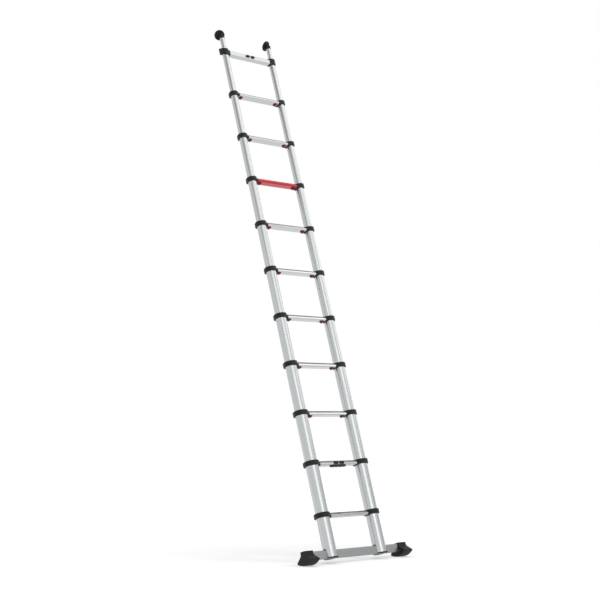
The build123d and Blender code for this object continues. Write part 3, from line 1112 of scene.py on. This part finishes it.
@dataclass
class Studio:
    """A pale floor, a white surround, soft lamps, reflector cards and the camera."""

    floor_half: float = 30.0
    floor_drop: float = 0.0003
    floor_shade: float = 0.62
    floor_bounce: float = 0.8
    floor_glow: tuple[float, float] = (0.40, 0.68)
    floor_fade: tuple[float, float] = (0.7, 3.0)
    fill: float = 0.55
    camera_place: Place = (-4.8137, -5.1968, 0.8043)
    camera_look: Place = (0.646, 0.758, 0.0883)
    lens: float = 76.57
    sensor: float = 36.0
    lamps: tuple[Softbox, ...] = (
        Softbox("right front softbox", (3.0, -5.0, 5.0), (0.0, 0.4, 1.5), 3.0, 4.0, 230.0),
        Softbox("overhead softbox", (-1.5, -1.0, 6.5), (0.0, 0.4, 1.0), 4.0, 4.0, 120.0),
    )
    cards: tuple[Card, ...] = (
        Card("low front bright card", (-118.0, -84.0), (10.0, 27.0), 2.0),
        Card("front bright card", (-130.0, -88.0), (27.0, 40.0), 1.75),
        Card("high bright card", (-96.0, 14.0), (40.0, 64.0), 1.7),
        Card("narrow bright card", (-47.0, -35.0), (20.0, 35.0), 2.3),
        Card("right bright card", (-30.0, 14.0), (24.0, 40.0), 1.7),
        Card("low right bright card", (-14.0, 14.0), (9.0, 24.0), 1.65),
        Card("high dim card", (-190.0, -136.0), (32.0, 70.0), 0.45),
        Card("right dim card", (-46.0, -16.0), (-2.0, 19.0), 0.6),
        Card("back dim card", (16.0, 62.0), (25.0, 60.0), 0.42),
    )

    @staticmethod
    def _seen(graph: Graph) -> Socket:
        """Returns a mask of the rays that show the surround: seen, mirrored or let through.

        Args:
            graph: The tree that needs the mask.
        """
        rays = graph.add("ShaderNodeLightPath").outputs
        shown = graph.math("MAXIMUM", rays["Is Camera Ray"], rays["Is Glossy Ray"])
        return graph.math("MAXIMUM", shown, rays["Is Transmission Ray"])

    def floor(self) -> None:
        """Lays the floor, white where it is open and grey in the ladder's shadow."""
        half = self.floor_half
        corners = [(-half, -half), (half, -half), (half, half), (-half, half)]
        mesh = bpy.data.meshes.new("pale_floor")
        mesh.from_pydata([(x, y, -self.floor_drop) for x, y in corners], [], [(0, 1, 2, 3)])
        floor = bpy.data.objects.new("pale_floor", mesh)
        bpy.context.scene.collection.objects.link(floor)
        material = bpy.data.materials.new("pale floor")
        material.use_nodes = True
        material.node_tree.nodes.clear()
        graph = Graph(material.node_tree)
        lit = graph.add("ShaderNodeBsdfDiffuse", {"Color": (*(self.floor_shade,) * 3, 1.0)})
        place = graph.add("ShaderNodeTexCoord").outputs["Object"]
        away = graph.add("ShaderNodeVectorMath", {0: place}, operation="LENGTH").outputs["Value"]
        strength = graph.spread(away, *self.floor_fade, *self.floor_glow)
        glow = graph.add("ShaderNodeEmission", {"Color": WHITE, "Strength": strength})
        shown = graph.add("ShaderNodeAddShader", {0: lit.outputs[0], 1: glow.outputs[0]})
        plain = graph.add("ShaderNodeBsdfDiffuse", {"Color": (*(self.floor_bounce,) * 3, 1.0)})
        mixed = graph.add(
            "ShaderNodeMixShader", {0: self._seen(graph), 1: plain.outputs[0], 2: shown.outputs[0]}
        )
        graph.add("ShaderNodeOutputMaterial", {0: mixed.outputs[0]})
        mesh.materials.append(material)

    def surround(self) -> None:
        """Makes the surround white where it is seen, and a plain fill light elsewhere."""
        world = bpy.data.worlds.new("white surround")
        bpy.context.scene.world = world
        world.use_nodes = True
        world.node_tree.nodes.clear()
        graph = Graph(world.node_tree)
        fill = graph.add("ShaderNodeBackground", {0: WHITE, 1: self.fill})
        white = graph.add("ShaderNodeBackground", {0: WHITE, 1: 1.0})
        mixed = graph.add(
            "ShaderNodeMixShader", {0: self._seen(graph), 1: fill.outputs[0], 2: white.outputs[0]}
        )
        graph.add("ShaderNodeOutputWorld", {0: mixed.outputs[0]})

    def camera(self) -> None:
        """Sets up the camera at the photograph's viewing angle."""
        data = bpy.data.cameras.new("camera")
        data.lens, data.sensor_width = self.lens, self.sensor
        camera = bpy.data.objects.new("camera", data)
        camera.location = self.camera_place
        camera.rotation_euler = Vector(self.camera_look).to_track_quat("-Z", "Y").to_euler()
        bpy.context.scene.collection.objects.link(camera)
        bpy.context.scene.camera = camera

    def build(self) -> None:
        """Sets up the whole studio."""
        bpy.context.scene.view_settings.view_transform = "Standard"
        self.floor()
        self.surround()
        for lamp in self.lamps:
            lamp.build()
        for card in self.cards:
            card.build()
        self.camera()


def main() -> None:
    """Dresses the ladder, adds its small pieces and sets up the studio."""
    logging.basicConfig(level=logging.INFO, format="%(name)s: %(message)s")
    materials = Materials()
    ribs = GripRibs(RibTree())
    base = BaseSection(RivetTree(), ribs)
    base.dress(materials)
    base.build(materials)
    Stand().dress(materials)
    for number in range(RUNGS.base_count + 1, RUNGS.count + 1):
        Stage(number).dress(materials)
    top = TopSection(ribs)
    top.dress(materials)
    top.build(materials)
    Studio().build()


if __name__ == "__main__":
    main()
